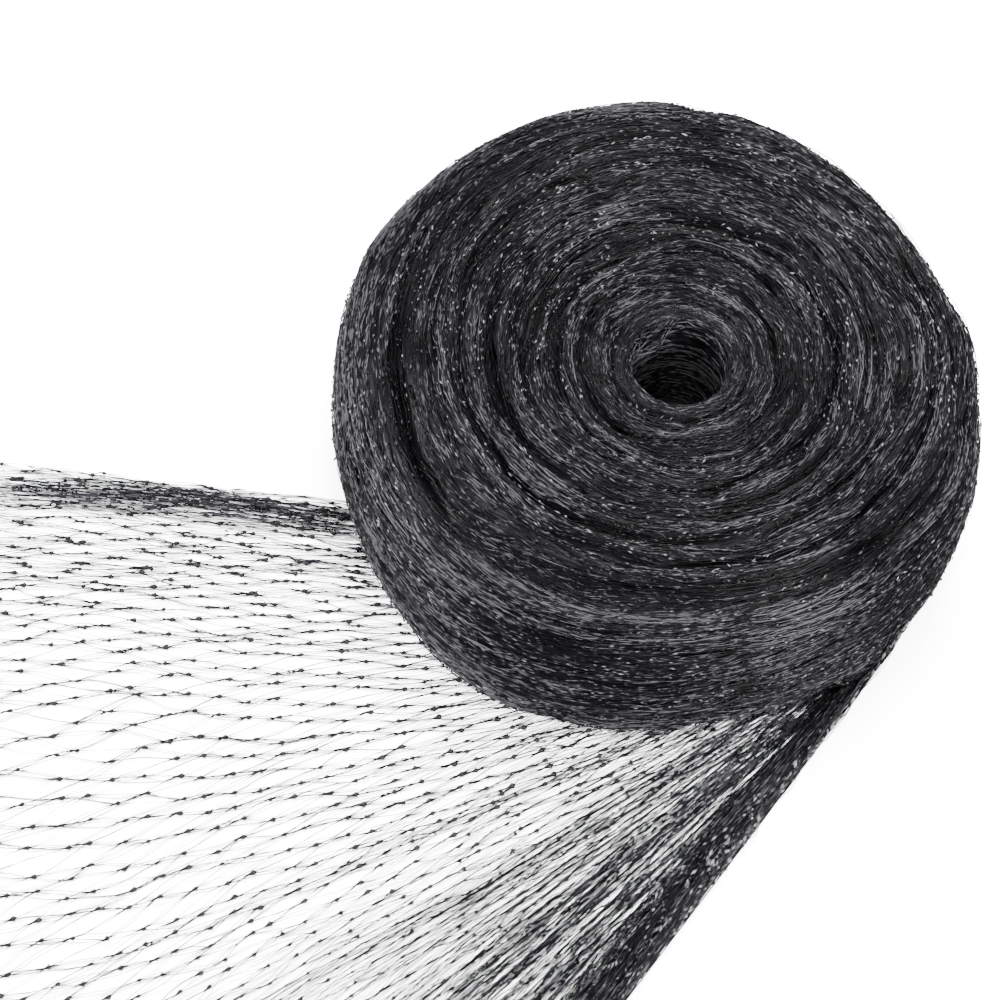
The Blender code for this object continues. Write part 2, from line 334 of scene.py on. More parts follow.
def roll_tables():
    """The section at every azimuth, filled in halfway between straight lines and a Catmull-Rom curve through
    its points at even steps of its mean length, with the outward normal across 2 * NORMAL_REACH rows."""
    azimuth_deg = np.arange(TABLE_COLUMNS) * 360 / TABLE_COLUMNS
    section, face_count, side_count = roll_section(azimuth_deg)
    count = section.shape[1]
    steps = np.linalg.norm(np.roll(section, -1, 1) - section, axis=2).mean(0)
    marks = np.concatenate([[0], np.cumsum(steps)])
    along = np.arange(TABLE_ROWS) * marks[-1] / TABLE_ROWS
    index = np.interp(along, marks, np.arange(count + 1))
    first = np.floor(index).astype(int)
    part = (index - first)[None, :, None]
    before, here, ahead, beyond = (section[:, (first + step) % count] for step in (-1, 0, 1, 2))
    curve = 0.5 * (
        2 * here
        + (ahead - before) * part
        + (2 * before - 5 * here + 4 * ahead - beyond) * part ** 2
        + (3 * here - 3 * ahead + beyond - before) * part ** 3
    )
    straight = here * (1 - part) + ahead * part
    filled = 0.5 * (curve + straight)
    slope = np.roll(filled, -NORMAL_REACH, 1) - np.roll(filled, NORMAL_REACH, 1)
    slope /= np.linalg.norm(slope, axis=2, keepdims=True)
    normal = np.stack([-slope[..., 1], slope[..., 0]], axis=2)
    return np.concatenate([filled, normal], axis=2), marks[-1], marks[face_count - 1], marks[side_count - 1]


roll_table, SECTION_LENGTH, FACE_END, SIDE_END = roll_tables()


def neighbours(lattice, turn, row):
    """Where a place lies in a lattice that closes after one turn: its four neighbours there, and how far on
    it is towards the next column and the next row."""
    columns, rows = lattice.shape[:2]
    column = np.mod(turn, 1) * columns
    i, j = np.floor(column).astype(int), np.floor(row).astype(int)
    i0, i1, j0, j1 = i % columns, (i + 1) % columns, j % rows, (j + 1) % rows
    return (lattice[i0, j0], lattice[i1, j0], lattice[i0, j1], lattice[i1, j1]), column - i, row - j


def blended(corners, s, t):
    """Four neighbours blended: a share s of the next column, then a share t of the next row."""
    near = corners[0] * (1 - s) + corners[1] * s
    far = corners[2] * (1 - s) + corners[3] * s
    return near * (1 - t) + far * t


WAVE_ROWS = 512          # the waves across begin again only after this many cells


def wander(turn, across, round_cells, cell, seed):
    """Even random waves from -1 to 1: random numbers on a lattice that closes after one turn, blended
    between neighbours by an even S both ways."""
    lattice = np.random.default_rng(seed).uniform(-1, 1, (round_cells, WAVE_ROWS))
    corners, s, t = neighbours(lattice, turn, across / cell + WAVE_ROWS)
    return blended(corners, smooth(s), smooth(t))


DRIFT = 0.0026           # the strands wander this far across the turns
LOCK_DEPTH = 0.002       # the grooves between the locks of a bunch
FINE_LOCK_DEPTH = 0.0008
SWELL_HEIGHT = 0.0008
SHADE_DEPTH = 0.0026     # a crevice this deep is black inside


def drift(turn, label):
    """How far a strand has wandered across the section: two sizes of even waves, none at core and ground."""
    fade = smooth((label - 0.002) / 0.012) * smooth((SIDE_END - 0.004 - label) / 0.012)
    waves = wander(turn, label, 9, 0.014, 11) + 0.45 * wander(turn, label, 23, 0.006, 12)
    return DRIFT * fade * waves


def grooves(turn, label):
    """1 in the middle of a groove between two locks and 0 away from it, for the coarse locks and for the
    fine ones: exp(-(waves / width) squared)."""
    coarse = np.exp(-((wander(turn, label, 11, 0.0044, 21) / 0.2) ** 2))
    fine = np.exp(-((wander(turn, label, 19, 0.0019, 22) / 0.24) ** 2))
    return coarse, fine


def relief(turn, label):
    """The height of the locks: less in the grooves, more on broad swells, none in the core and below."""
    coarse, fine = grooves(turn, label)
    swell = SWELL_HEIGHT * wander(turn, label, 13, 0.009, 23)
    fade = smooth(label / 0.003) * (0.4 + 0.6 * smooth((label - 0.004) / 0.012))
    fade = fade * smooth((SIDE_END - label) / 0.004)
    return fade * (swell - LOCK_DEPTH * coarse - FINE_LOCK_DEPTH * fine)


def round_core(radius, angle, height):
    """Points at a radius and an angle round the core, and at a height."""
    return np.stack([CORE_X + radius * np.cos(angle), CORE_Y + radius * np.sin(angle), height], axis=-1)


def from_core(x, y):
    """How far a place lies from the core's middle, level."""
    return np.hypot(x - CORE_X, y - CORE_Y)


def on_roll(turn, along, lift=0):
    """The point at one turn round the core and one length along the section, lifted off the surface, and
    the surface's outward direction there: both read from the table, blended between its entries."""
    corners, s, t = neighbours(roll_table, turn, np.mod(along / SECTION_LENGTH, 1) * TABLE_ROWS)
    radius, height, out, up = np.moveaxis(blended(corners, s[..., None], t[..., None]), -1, 0)
    angle = math.tau * turn
    outward = np.stack([out * np.cos(angle), out * np.sin(angle), up], axis=-1)
    return round_core(radius + lift * out, angle, height + lift * up), outward


def mesh_piece(name, points, faces, uv=None, values=None):
    """A mesh object from arrays: points [n, 3], a list of face arrays [m, corners], a UV place for each
    point or for each face's corner, and named values for each point."""
    mesh = bpy.data.meshes.new(name)
    points = np.maximum(points, (-np.inf, -np.inf, 0))        # nothing goes below the table
    corners = np.concatenate([group.ravel() for group in faces]).astype(np.int32)
    sizes = np.concatenate([np.full(len(group), group.shape[1]) for group in faces]).astype(np.int32)
    mesh.vertices.add(len(points))
    mesh.vertices.foreach_set("co", np.ascontiguousarray(points, dtype=np.float32).ravel())
    mesh.loops.add(len(corners))
    mesh.loops.foreach_set("vertex_index", corners)
    mesh.polygons.add(len(sizes))
    mesh.polygons.foreach_set("loop_start", np.concatenate([[0], np.cumsum(sizes)[:-1]]).astype(np.int32))
    mesh.update(calc_edges=True)
    if uv is not None:
        layer = mesh.uv_layers.new(name="along")
        placed = uv if len(uv) == len(corners) else uv[corners]
        layer.uv.foreach_set("vector", placed.astype(np.float32).ravel())
    for value_name, value in (values or {}).items():
        attribute = mesh.attributes.new(value_name, "FLOAT", "POINT")
        attribute.data.foreach_set("value", value.astype(np.float32).ravel())
    mesh.shade_smooth()
    piece = bpy.data.objects.new(name, mesh)
    bpy.context.scene.collection.objects.link(piece)
    return piece


def depth_shade(turn, label, point):
    """How dark a point is for lying deep, 0 to 1: in a groove between locks, or down a crevice of the face,
    by how far it lies below the level of the end face or of the outer turn's lip there."""
    coarse, fine = grooves(turn, label)
    face = face_height(from_core(point[..., 0], point[..., 1]))
    below = np.where(label < FACE_END, face, HEIGHT - WRAP_DROP) + 0.0004 - point[..., 2]
    crevice = smooth(below / SHADE_DEPTH) * (label < FACE_END + 0.004) * (label > 0.002)
    return np.maximum(np.maximum(0.9 * coarse, 0.55 * fine), crevice)


# Broad patches where the net looks lighter or darker than elsewhere, partly painted light and shade (lit
# bands round the core and on the side, painted shade down the crevices) and partly the net's own tone: round
# the core the direction and the spread in degrees, along the section the place and the spread in metres,
# and how much lighter.
LIGHT_AND_TONE_ZONES = (
    (-160, 50, 0.003, 0.006, -0.55), (50, 34, 0.003, 0.005, -0.3), (-74, 28, 0.009, 0.005, 0.16),
    (-142, 12, 0.013, 0.006, 0.4), (110, 20, 0.016, 0.007, 0.3), (80, 13, 0.016, 0.005, -0.55),
    (-16, 28, 0.019, 0.009, -0.36), (162, 14, 0.009, 0.004, -0.3), (-6, 14, 0.009, 0.004, -0.3),
    (-66, 14, 0.016, 0.004, 0.32), (66, 10, 0.018, 0.005, -0.26), (99, 9, 0.023, 0.004, 0.32),
    (-84, 8, 0.023, 0.004, 0.32), (60, 8, 0.03, 0.004, -0.32), (175, 40, 0.014, 0.0014, -0.6),
    (0, 30, 0.02, 0.0014, -0.7), (180, 36, 0.03, 0.0016, -0.6), (-70, 40, 0.0165, 0.0013, -0.5),
    (-84, 26, 0.026, 0.006, -0.22), (-20, 26, 0.038, 0.003, -0.7), (172, 30, 0.0385, 0.003, -0.7),
    (100, 26, 0.037, 0.004, -0.5), (52, 34, 0.0475, 0.0022, -0.8), (-108, 10, 0.046, 0.005, -0.4),
    (-30, 9, 0.044, 0.004, -0.26), (88, 22, 0.051, 0.003, -0.24), (-156, 8, 0.057, 0.004, 0.44),
    (-144, 8, 0.05, 0.004, 0.32), (6, 10, 0.064, 0.004, -0.26), (-43, 10, 0.072, 0.004, -0.28),
    (118, 22, 0.079, 0.003, -0.26), (122, 14, 0.089, 0.004, 0.26), (132, 11, 0.1, 0.004, 0.3),
    (-162, 22, 0.0515, 0.0022, -0.7), (178, 38, 0.06, 0.018, -0.1), (108, 9, 0.05, 0.01, 0.5),
    (-138, 14, 0.056, 0.01, 0.4), (-30, 26, 0.062, 0.01, -0.26), (-12, 9, 0.062, 0.006, 0.55),
    (-84, 10, 0.06, 0.008, 0.5), (-62, 11, 0.082, 0.006, 0.55), (-166, 14, 0.081, 0.006, -0.28),
    (150, 38, 0.086, 0.0022, -1.1), (118, 28, 0.0925, 0.0015, -0.8), (98, 14, 0.0815, 0.002, -0.8),
    (-124, 16, 0.086, 0.004, -0.45), (-42, 11, 0.086, 0.005, -0.34), (176, 16, 0.0915, 0.0036, -0.9),
    (-157, 16, 0.095, 0.0042, -1.6), (-106, 22, 0.097, 0.004, 0.5), (-62, 24, 0.0935, 0.0022, -0.8),
    (152, 28, 0.1005, 0.0016, -0.8), (148, 24, 0.109, 0.005, 0.6), (116, 13, 0.095, 0.0022, -0.7),
    (98, 14, 0.101, 0.005, 0.8), (-114, 12, 0.108, 0.006, -0.26), (-72, 17, 0.108, 0.013, 0.62),
    (-50, 13, 0.13, 0.026, -0.5), (-134, 22, 0.13, 0.03, 0.44), (-161, 7, 0.131, 0.003, -0.5),
    (-150, 9, 0.119, 0.003, -0.5), (174, 30, 0.12, 0.012, 0.42), (-98, 13, 0.14, 0.014, -0.14),
    (-112, 14, 0.156, 0.01, 0.42),
)


def zone_light_and_tone(turn, label):
    """How light the net is, as painted light and shade together with its own tone: for each zone a bell
    round the core times a bell along the section, then two sizes of random patches, thin rings that show
    most by the core, and painted shade about the core, most of all at its rim."""
    zones = np.zeros_like(label)
    for towards_deg, spread_deg, middle, spread, rise in LIGHT_AND_TONE_ZONES:
        apart = (360 * turn - towards_deg + 180) % 360 - 180
        zones = zones + rise * np.exp(-((apart / spread_deg) ** 2) - ((label - middle) / spread) ** 2)
    by_core = 1 - smooth((label - 0.022) / 0.02)
    by_rim = 1 - smooth((label - 0.001) / 0.009)
    broad = 0.07 * wander(turn, label, 11, 0.011, 71)
    narrow = (0.2 + 0.08 * by_core) * wander(turn, label, 7, 0.0029, 73)
    rings = (0.1 + 0.12 * (label < FACE_END) + 0.26 * by_core) * wander(turn, label, 6, 0.0012, 74)
    return 0.8 * zones + (broad + narrow) - 0.06 * by_core - 0.2 * by_rim + rings


SHADE_SHARE = 0.6        # a piece's deepest shade takes this much off the ramp's place
STREAK_HEIGHT = 0.0004


def coloured(ramp, stops):
    """Sets a colour ramp's stops, each a place on the ramp and a colour."""
    marks = ramp.color_ramp.elements
    while len(marks) < len(stops):
        marks.new(0.5)
    for mark, (position, colour) in zip(marks, stops):
        mark.position = position
        mark.color = (*colour, 1)


def streaked_glint_finish(name, scale, distortion, contrast, tone_share, stops, roughness, specular, bump):
    """Drawn nylon with painted glints. Noise drawn out along the piece's own UV, and distorted, gets its
    contrast about 0.5; a share of the piece's tone is added and most of its painted shade taken off; and the
    sum is read off a ramp of (place, grey) stops that lean a little to blue, whose light end paints the
    nylon's glints as short light dashes. The same noise raises the surface."""
    finish, tree = new_finish(name)
    shader = tree.nodes["Principled BSDF"]
    shader.inputs["Roughness"].default_value = roughness
    shader.inputs["Specular IOR Level"].default_value = specular
    place = new_node(tree, "UVMap", uv_map="along")
    drawn = new_node(tree, "Mapping", {"Scale": (*scale, 1)})
    noise = new_node(tree, "TexNoise", {"Scale": 1, "Detail": 1.5, "Distortion": distortion})
    total = new_node(tree, "Math", {1: contrast, 2: 0.5 - 0.5 * contrast}, operation="MULTIPLY_ADD")
    wired(tree, (place, "UV", drawn, "Vector"), (drawn, "Vector", noise, "Vector"), (noise, "Fac", total, 0))
    for value_name, share in (("tone", tone_share), ("shade", -SHADE_SHARE)):
        value = new_node(tree, "Attribute", attribute_name=value_name)
        added = new_node(tree, "Math", {1: share}, operation="MULTIPLY_ADD")
        wired(tree, (value, "Fac", added, 0), (total, "Value", added, 2))
        total = added
    ramp = new_node(tree, "ValToRGB")
    coloured(ramp, [(position, (1.02 * grey, grey, 1.1 * grey + 0.0013)) for position, grey in stops])
    raised = new_node(tree, "Bump", {"Strength": bump, "Distance": STREAK_HEIGHT})
    wired(
        tree,
        (total, "Value", ramp, "Fac"),
        (ramp, "Color", shader, "Base Color"),
        (noise, "Fac", raised, "Height"),
        (raised, "Normal", shader, "Normal"),
    )
    return finish


BODY_COLUMNS = 360
BODY_FACE_ROWS = 136     # across the face and down the side
BODY_UNDER_ROWS = 12     # in under the roll and up the core's wall

body_turns = np.arange(BODY_COLUMNS) / BODY_COLUMNS
body_labels = np.concatenate([
    np.linspace(0, SIDE_END, BODY_FACE_ROWS, endpoint=False),
    np.linspace(SIDE_END, SECTION_LENGTH, BODY_UNDER_ROWS, endpoint=False),
])
body_turn, body_label = np.meshgrid(body_turns, body_labels, indexing="ij")
body_points, _ = on_roll(body_turn, body_label + drift(body_turn, body_label), relief(body_turn, body_label))
body_index = np.arange(body_turn.size).reshape(body_turn.shape)
body_inner = np.roll(body_index, -1, 1)
body_quads = [body_index, body_inner, np.roll(body_inner, -1, 0), np.roll(body_index, -1, 0)]
body_quads = np.stack(body_quads, axis=-1).reshape(-1, 4)

# The streaks' places: metres round the core at each row's mean radius, and metres along the section.
body_rounds = math.tau * from_core(body_points[..., 0], body_points[..., 1]).mean(0)
body_next_rounds = np.roll(body_rounds, -1)
body_next_turns = np.append(body_turns[1:], 1)
body_next_labels = np.append(body_labels[1:], SECTION_LENGTH)
body_uv = np.stack([
    np.stack(np.broadcast_arrays(column[:, None] * rounds, row[None]), axis=-1)
    for column, rounds, row in (
        (body_turns, body_rounds, body_labels),
        (body_turns, body_next_rounds, body_next_labels),
        (body_next_turns, body_next_rounds, body_next_labels),
        (body_next_turns, body_rounds, body_labels),
    )
], axis=2).reshape(-1, 2)

# The net deep in the roll: near black, with the streaks of the strands below, drawn out round the core,
# their light dashes painted glints. Its tone carries the zones' painted light and shade, its shade the
# painted shade of the grooves and crevices.
wound_roll = mesh_piece("wound_roll", body_points.reshape(-1, 3), [body_quads], body_uv, {
    "shade": depth_shade(body_turn, body_label, body_points),
    "tone": zone_light_and_tone(body_turn, body_label),
})
wound_roll.data.materials.append(streaked_glint_finish(
    "packed_net", scale=(150, 1300), distortion=0.7, contrast=4.5, tone_share=0.6,
    stops=((0.44, 0.006), (0.74, 0.016), (1, 0.11)), roughness=0.42, specular=0.2, bump=0.9))
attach(wound_roll, "root")
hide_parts("net_roll")


# ---- The strands on the roll -------------------------------------------------------------------------
# The outermost strands of every turn, thin drawn nylon that lies side by side round the core, each a little
# askew and wavy. They are held only by the winding, and dive in between their neighbours at both ends.
STRAND_WIDTH = 0.00031
STRAND_KINK = 0.00036    # sideways, where a strand passes a knot
STRAND_POINTS = 10
STRAND_STEP = 0.006      # along a strand, between two of its points
STRAND_TURN_LIMIT = math.radians(10)
STRAND_SLANT = math.radians(2.6)
STRAND_WAVE = 0.00035
STRAND_LOWEST = 0.0001   # over the locks
STRAND_HEAP = 0.0011     # how much higher the uppermost lie
STRAND_LOOSE = 0.0009    # how much higher yet a loose one lies
LOOSE_ABOVE = 0.985      # a strand is loose where its draw from 0 to 1 is above this
SUNK_DEPTH = 0.0006      # of a strand's ends below the locks
# Painted light: the strands deep inside the core get a lighter colour, where little light falls.
CORE_PAINTED_LIGHT = 0.6       # deep inside the core, where little light falls
TUBE_ROUND = 0.58        # a tube's radius against its strand's width
TUBE_CORNERS = np.radians((90, 210, 330))


def unit(vectors):
    """Vectors of length 1 in the same directions."""
    return vectors / np.maximum(np.linalg.norm(vectors, axis=-1, keepdims=True), 1e-9)


def tubes(centres, outward, radius):
    """Three-sided tubes carried along many paths at once, from [strand, point] arrays: at each point a
    triangle across the path, one corner outward, and a flat cap at each end."""
    ahead = unit(np.gradient(centres, axis=1))
    sideways = unit(np.cross(ahead, outward))
    upward = np.cross(sideways, ahead)
    ring = np.stack([
        centres + radius[..., None] * (math.sin(corner) * upward + math.cos(corner) * sideways)
        for corner in TUBE_CORNERS
    ], axis=2)
    index = np.arange(ring.size // 3).reshape(ring.shape[:3])
    here, there = index[:, :-1], index[:, 1:]
    quads = np.stack([here, np.roll(here, -1, 2), np.roll(there, -1, 2), there], axis=-1).reshape(-1, 4)
    return ring.reshape(-1, 3), [quads, index[:, 0, ::-1], index[:, -1]]


def strand_piece(name, centres, outward, width, tone, shade, chance):
    """Strands as one piece: their tubes, with the way along each strand and a row of its own as UV, and the
    tone and shade at every point."""
    whole = np.ones(centres.shape[:2])
    points, faces = tubes(centres, outward, TUBE_ROUND * width * whole)
    run = np.cumsum(np.linalg.norm(np.diff(centres, axis=1, prepend=centres[:, :1]), axis=2), axis=1)
    row = chance.uniform(0, 50, (len(centres), 1)) * whole
    run, row, tone, shade = (np.repeat(value, 3) for value in (run, row, tone * whole, shade * whole))
    return mesh_piece(name, points, faces, np.stack([run, row], axis=1), {"tone": tone, "shade": shade})


def laid_strands(name, count, label_from, label_to, seed):
    """Strands along the turns: each follows its own label round the core for a short way, with the common
    drift, its own slant and a small wave, at its own height over the locks, its ends sunk."""
    chance = np.random.default_rng(seed)
    each = (count, 1)
    label = chance.uniform(label_from, label_to, each)
    start = chance.random(each)
    middle, _ = on_roll(start, label)
    radius = from_core(middle[..., 0], middle[..., 1])
    step = np.minimum(STRAND_STEP * chance.uniform(0.75, 1.3, each) / radius, STRAND_TURN_LIMIT)
    place = np.arange(STRAND_POINTS) - 0.5 * (STRAND_POINTS - 1)
    turn = start + place * step / math.tau
    length = place * step * radius
    slant = chance.normal(0, STRAND_SLANT, each)
    wave = np.sin(length / chance.uniform(0.003, 0.006, each) + chance.uniform(0, 6.3, each))
    own = label + slant * length + STRAND_WAVE * wave + chance.normal(0, STRAND_KINK, turn.shape)
    rest = STRAND_LOWEST + STRAND_HEAP * chance.random(each) ** 1.8
    rest = rest + STRAND_LOOSE * (chance.random(each) > LOOSE_ABOVE)
    rest = rest * (0.3 + 0.7 * smooth((label - 0.002) / 0.01) * (label < SIDE_END))
    sunk = 1 - np.abs(2 * np.arange(STRAND_POINTS) / (STRAND_POINTS - 1) - 1) ** 6
    lift = relief(turn, own) + rest * sunk - SUNK_DEPTH * (1 - sunk)
    centres, outward = on_roll(turn, own + drift(turn, own), lift)
    centres[..., 2] = np.maximum(centres[..., 2], 0.5 * STRAND_WIDTH)
    width = STRAND_WIDTH * chance.uniform(0.8, 1.25, each) * (0.55 + 0.45 * sunk)
    # The tone: random, plus the zones' painted light and shade, plus painted light deep inside the core.
    tone = 0.5 * chance.random(each) ** 2 - 0.04 + zone_light_and_tone(turn, own)
    down = SECTION_LENGTH - own
    tone = tone + CORE_PAINTED_LIGHT * smooth((0.042 - down) / 0.016) * smooth((down - 0.008) / 0.012)
    return strand_piece(name, centres, outward, width, tone, depth_shade(turn, own, centres), chance)


strand_finish = streaked_glint_finish(
    "nylon_strand", scale=(290, 1), distortion=0, contrast=3.7, tone_share=1,
    stops=((0.44, 0.008), (0.69, 0.047), (1, 0.2)), roughness=0.32, specular=0.28, bump=0.25)

SIDE_MIDDLE = 0.5 * (FACE_END + SIDE_END)
STRAND_GROUPS = (
    ("core_strands", 300, SECTION_LENGTH - 0.05, SECTION_LENGTH + 0.002, 30),
    ("face_strands_inner", 1200, 0, 0.028, 31),
    ("face_strands_outer", 2350, 0.024, FACE_END + 0.004, 32),
    ("side_strands_upper", 1750, FACE_END, SIDE_MIDDLE, 33),
    ("side_strands_lower", 1150, SIDE_MIDDLE, SIDE_END, 34),
)
for group_name, group_count, group_from, group_to, group_seed in STRAND_GROUPS:
    group = laid_strands(group_name, group_count, group_from, group_to, group_seed)
    group.data.materials.append(strand_finish)
    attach(group, "root")


# ---- Loose loops at the core --------------------------------------------------------------------------
# A few strands of the innermost turn have slipped and hang over the rim into the core as loops. They are
# the same drawn nylon, and nothing holds them but the turn that they come out of.
LOOP_COUNT = 7
LOOP_POINTS = 26
LOOP_TONE = 0.25


def facing_up(points):
    """Straight up, at every point."""
    return np.broadcast_to((0, 0, 1), points.shape)


def hanging_loops(name, seed):
    """Loops over the rim at the back left of the core: each runs a short way round, and hangs in and down
    by (1 - share squared) to the power 1.3, where its share runs from -1 to 1."""
    chance = np.random.default_rng(seed)
    each = (LOOP_COUNT, 1)
    share = np.linspace(-1, 1, LOOP_POINTS)
    middle = np.radians(chance.uniform(95, 165, each))
    angle = middle + np.radians(chance.uniform(24, 50, each)) * share
    hang = (1 - share ** 2) ** 1.3
    radius = CORE_RADIUS + 0.0016 - chance.uniform(0.002, 0.0085, each) * hang
    height = face_height(CORE_RADIUS) + 0.0002 - chance.uniform(0.001, 0.007, each) * hang
    centres = round_core(radius, angle, height + chance.normal(0, 0.00008, angle.shape))
    return strand_piece(name, centres, facing_up(centres), STRAND_WIDTH, LOOP_TONE, 0, chance)


core_loops = hanging_loops("core_loops", 36)
core_loops.data.materials.append(strand_finish)
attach(core_loops, "root")


# ---- The knots on the roll ---------------------------------------------------------------------------
# Every crossing of the net is a knot pulled tight. On the roll they sit all over the strands, and the
# shine of the drawn nylon on their backs is painted into their colour as small bright specks: painted
# glints.
KNOT_COUNT = 8000
KNOT_LENGTH = 0.0019
KNOT_WIDTH = 0.00064
KNOT_SEED = 41
KNOT_ROWS = 400          # of the section, to spread the knots evenly over its area
KNOT_AHEAD = 0.0015      # of a turn, to find which way the strands run


def spindles(centres, ahead, outward, length, width, rings):
    """Closed spindles: four-sided rings at the given shares of the half length, each with its share of the
    width, between two points at the tips."""
    sideways = unit(np.cross(ahead, outward))
    upward = np.cross(sideways, ahead)
    half = 0.5 * length[:, None]
    levels = [centres - half * ahead]
    for share, breadth in rings:
        for arm in (upward, -sideways, -upward, sideways):
            levels.append(centres + share * half * ahead + 0.5 * breadth * width[:, None] * arm)
    levels.append(centres + half * ahead)
    points = np.stack(levels, axis=1)
    count = len(levels)
    base = np.arange(len(centres))[:, None, None] * count
    ring = np.arange(4)
    beside = (ring + 1) % 4
    start = np.stack([0 * ring, 1 + beside, 1 + ring], axis=1)
    end = np.stack([0 * ring + count - 1, count - 5 + ring, count - 5 + beside], axis=1)
    faces = [(np.concatenate([start, end]) + base).reshape(-1, 3)]
    for first in range(1, count - 5, 4):
        side = np.stack([first + ring, first + beside, first + 4 + beside, first + 4 + ring], axis=1)
        faces.append((side + base).reshape(-1, 4))
    return points.reshape(-1, 3), faces


def knot_piece(name, centres, ahead, outward, length, width, rings, tone):
    """Knots as one piece: their spindles, with each knot's tone at every point."""
    points, faces = spindles(centres, ahead, outward, length, width, rings)
    return mesh_piece(name, points, faces, values={"tone": np.repeat(tone, len(points) // len(centres))})


def roll_knots(name, count, seed):
    """Knots spread evenly over the face and the side, along the strands' common drift."""
    chance = np.random.default_rng(seed)
    along = np.linspace(0, SIDE_END, KNOT_ROWS)
    circle, _ = on_roll(np.zeros(KNOT_ROWS), along)
    room = np.cumsum(from_core(circle[:, 0], circle[:, 1]))
    label = np.interp(chance.uniform(0, room[-1], count), room, along)
    turn = chance.random(count)
    lift = relief(turn, label) + chance.uniform(0.0006, 0.0014, count)
    centres, outward = on_roll(turn, label + drift(turn, label), lift)
    next_turn = turn + KNOT_AHEAD
    beside, _ = on_roll(next_turn, label + drift(next_turn, label), lift)
    ahead = unit(beside - centres + chance.normal(0, 0.0002, (count, 3)))
    length = KNOT_LENGTH * chance.uniform(0.6, 1.35, count)
    width = KNOT_WIDTH * chance.uniform(0.7, 1.3, count)
    centres[:, 2] = np.maximum(centres[:, 2], 0.0006)
    # Each knot's tone is the brightness of its painted glint: random, in patches, less where the painted
    # shade is deep, and dimmer near the core.
    patches = 0.35 + 0.65 * smooth(0.55 + 0.9 * wander(turn, label, 9, 0.008, 43))
    outer = 0.6 + 0.4 * smooth((label - 0.01) / 0.03)
    tone = chance.random(count) * (1 - 0.8 * depth_shade(turn, label, centres)) * patches * outer
    return knot_piece(name, centres, ahead, outward, length, width, ((0, 1),), tone)


# The knots' colour: near-black nylon at a tone of 0.15 and below, up to a light grey painted glint at a tone
# of 1.
glint_knot_finish, knot_tree = new_finish("tight_knot_painted_glint")
knot_shader = knot_tree.nodes["Principled BSDF"]
knot_shader.inputs["Roughness"].default_value = 0.25
knot_glint = new_node(knot_tree, "Attribute", attribute_name="tone")
knot_glint_ramp = new_node(knot_tree, "ValToRGB")
coloured(knot_glint_ramp, ((0.15, (0.03, 0.03, 0.032)), (1, (0.66, 0.67, 0.7))))
wired(knot_tree, (knot_glint, "Fac", knot_glint_ramp, "Fac"), (knot_glint_ramp, "Color", knot_shader, "Base Color"))

wound_knots = roll_knots("wound_knots", KNOT_COUNT, KNOT_SEED)
wound_knots.data.materials.append(glint_knot_finish)
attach(wound_knots, "root")


# ---- The fanned-out loose end ------------------------------------------------------------------------
# The last turn leaves the rim at the front right and is drawn out over the table, so its rows of knots
# stand apart. Its back selvedge is gathered, and its front one is a thick dark bunch.
FAN_LENGTH = 0.343
FAN_START = 0.008
FAN_FRONT_DEG = LEAVES_DEG + 270.4
BACK_BOW = 0.0092
BACK_BOW_SPREAD_DEG = 14
END_WAVE = 0.0025
END_WAVE_RATE = 5.3
FOLDS = (
    Stretch(171.2, 1.1, 0.0042),
    Stretch(177, 1.5, 0.0004),
    Stretch(186.5, 1.8, 0.0006),
    Stretch(195, 1.6, 0.0005),
    Stretch(202.5, 1.3, 0.001),
    Stretch(207.5, 1.2, 0.0008),
    Stretch(212.5, 1.3, 0.0015),
    Stretch(217, 1.3, 0.0017),
    Stretch(222, 1.6, 0.003),
    Stretch(228.2, 2, 0.0052),
)
PRESSED_MARGIN = 0.008
SWELL_LENGTH = 0.03
LIFT_OFF = 0.01
LIFT_OFF_LENGTH = 0.05
LIFT_OFF_FROM_DEG = 222
LIFT_OFF_OVER_DEG = 7
FRONT_EVEN_AT = 0.13     # further out than this, the dark bunch at the front grows no wider
BACK_EVEN_AT = 0.19      # the back selvedge is as wide all along as its spread makes it this far out
BUNCH_DEG = 0.13         # strands swing this far to one side and the other, into a bunch
BUNCH_EVERY_DEG = 0.95   # from one bunch to the next, near the roll
BUNCH_FAR_SHARE = 0.6    # of that, at the end of the fan
BUNCH_FAR_SWING = 0.3    # of the swing, at the end of the fan
BUNCH_LATTICE = 0.5      # the waves along the fan begin again after this far

LEAVES_X = CORE_X + LEAVES_RADIUS * math.cos(math.radians(LEAVES_DEG))
LEAVES_Y = CORE_Y + LEAVES_RADIUS * math.sin(math.radians(LEAVES_DEG))


def bunched(distance, direction_deg):
    """The direction after strands swing together into bunches with gaps between: a sine of the direction
    with a wandering beat, closer and weaker further out, plus a slow swing, over the dense front only."""
    dense = smooth((direction_deg - 198) / 12) * smooth((FAN_FRONT_DEG - 1.5 - direction_deg) / 4)
    far = smooth((distance - 0.1) / 0.16)
    along = distance / BUNCH_LATTICE
    beat = math.tau * direction_deg / BUNCH_EVERY_DEG + 1.8 * wander(along, direction_deg, 6, 2.2, 91)
    swing = (1 - far) * np.sin(beat) + BUNCH_FAR_SWING * far * np.sin(beat / BUNCH_FAR_SHARE)
    return direction_deg + BUNCH_DEG * dense * (swing + 1.2 * wander(along, direction_deg, 6, 0.8, 92))


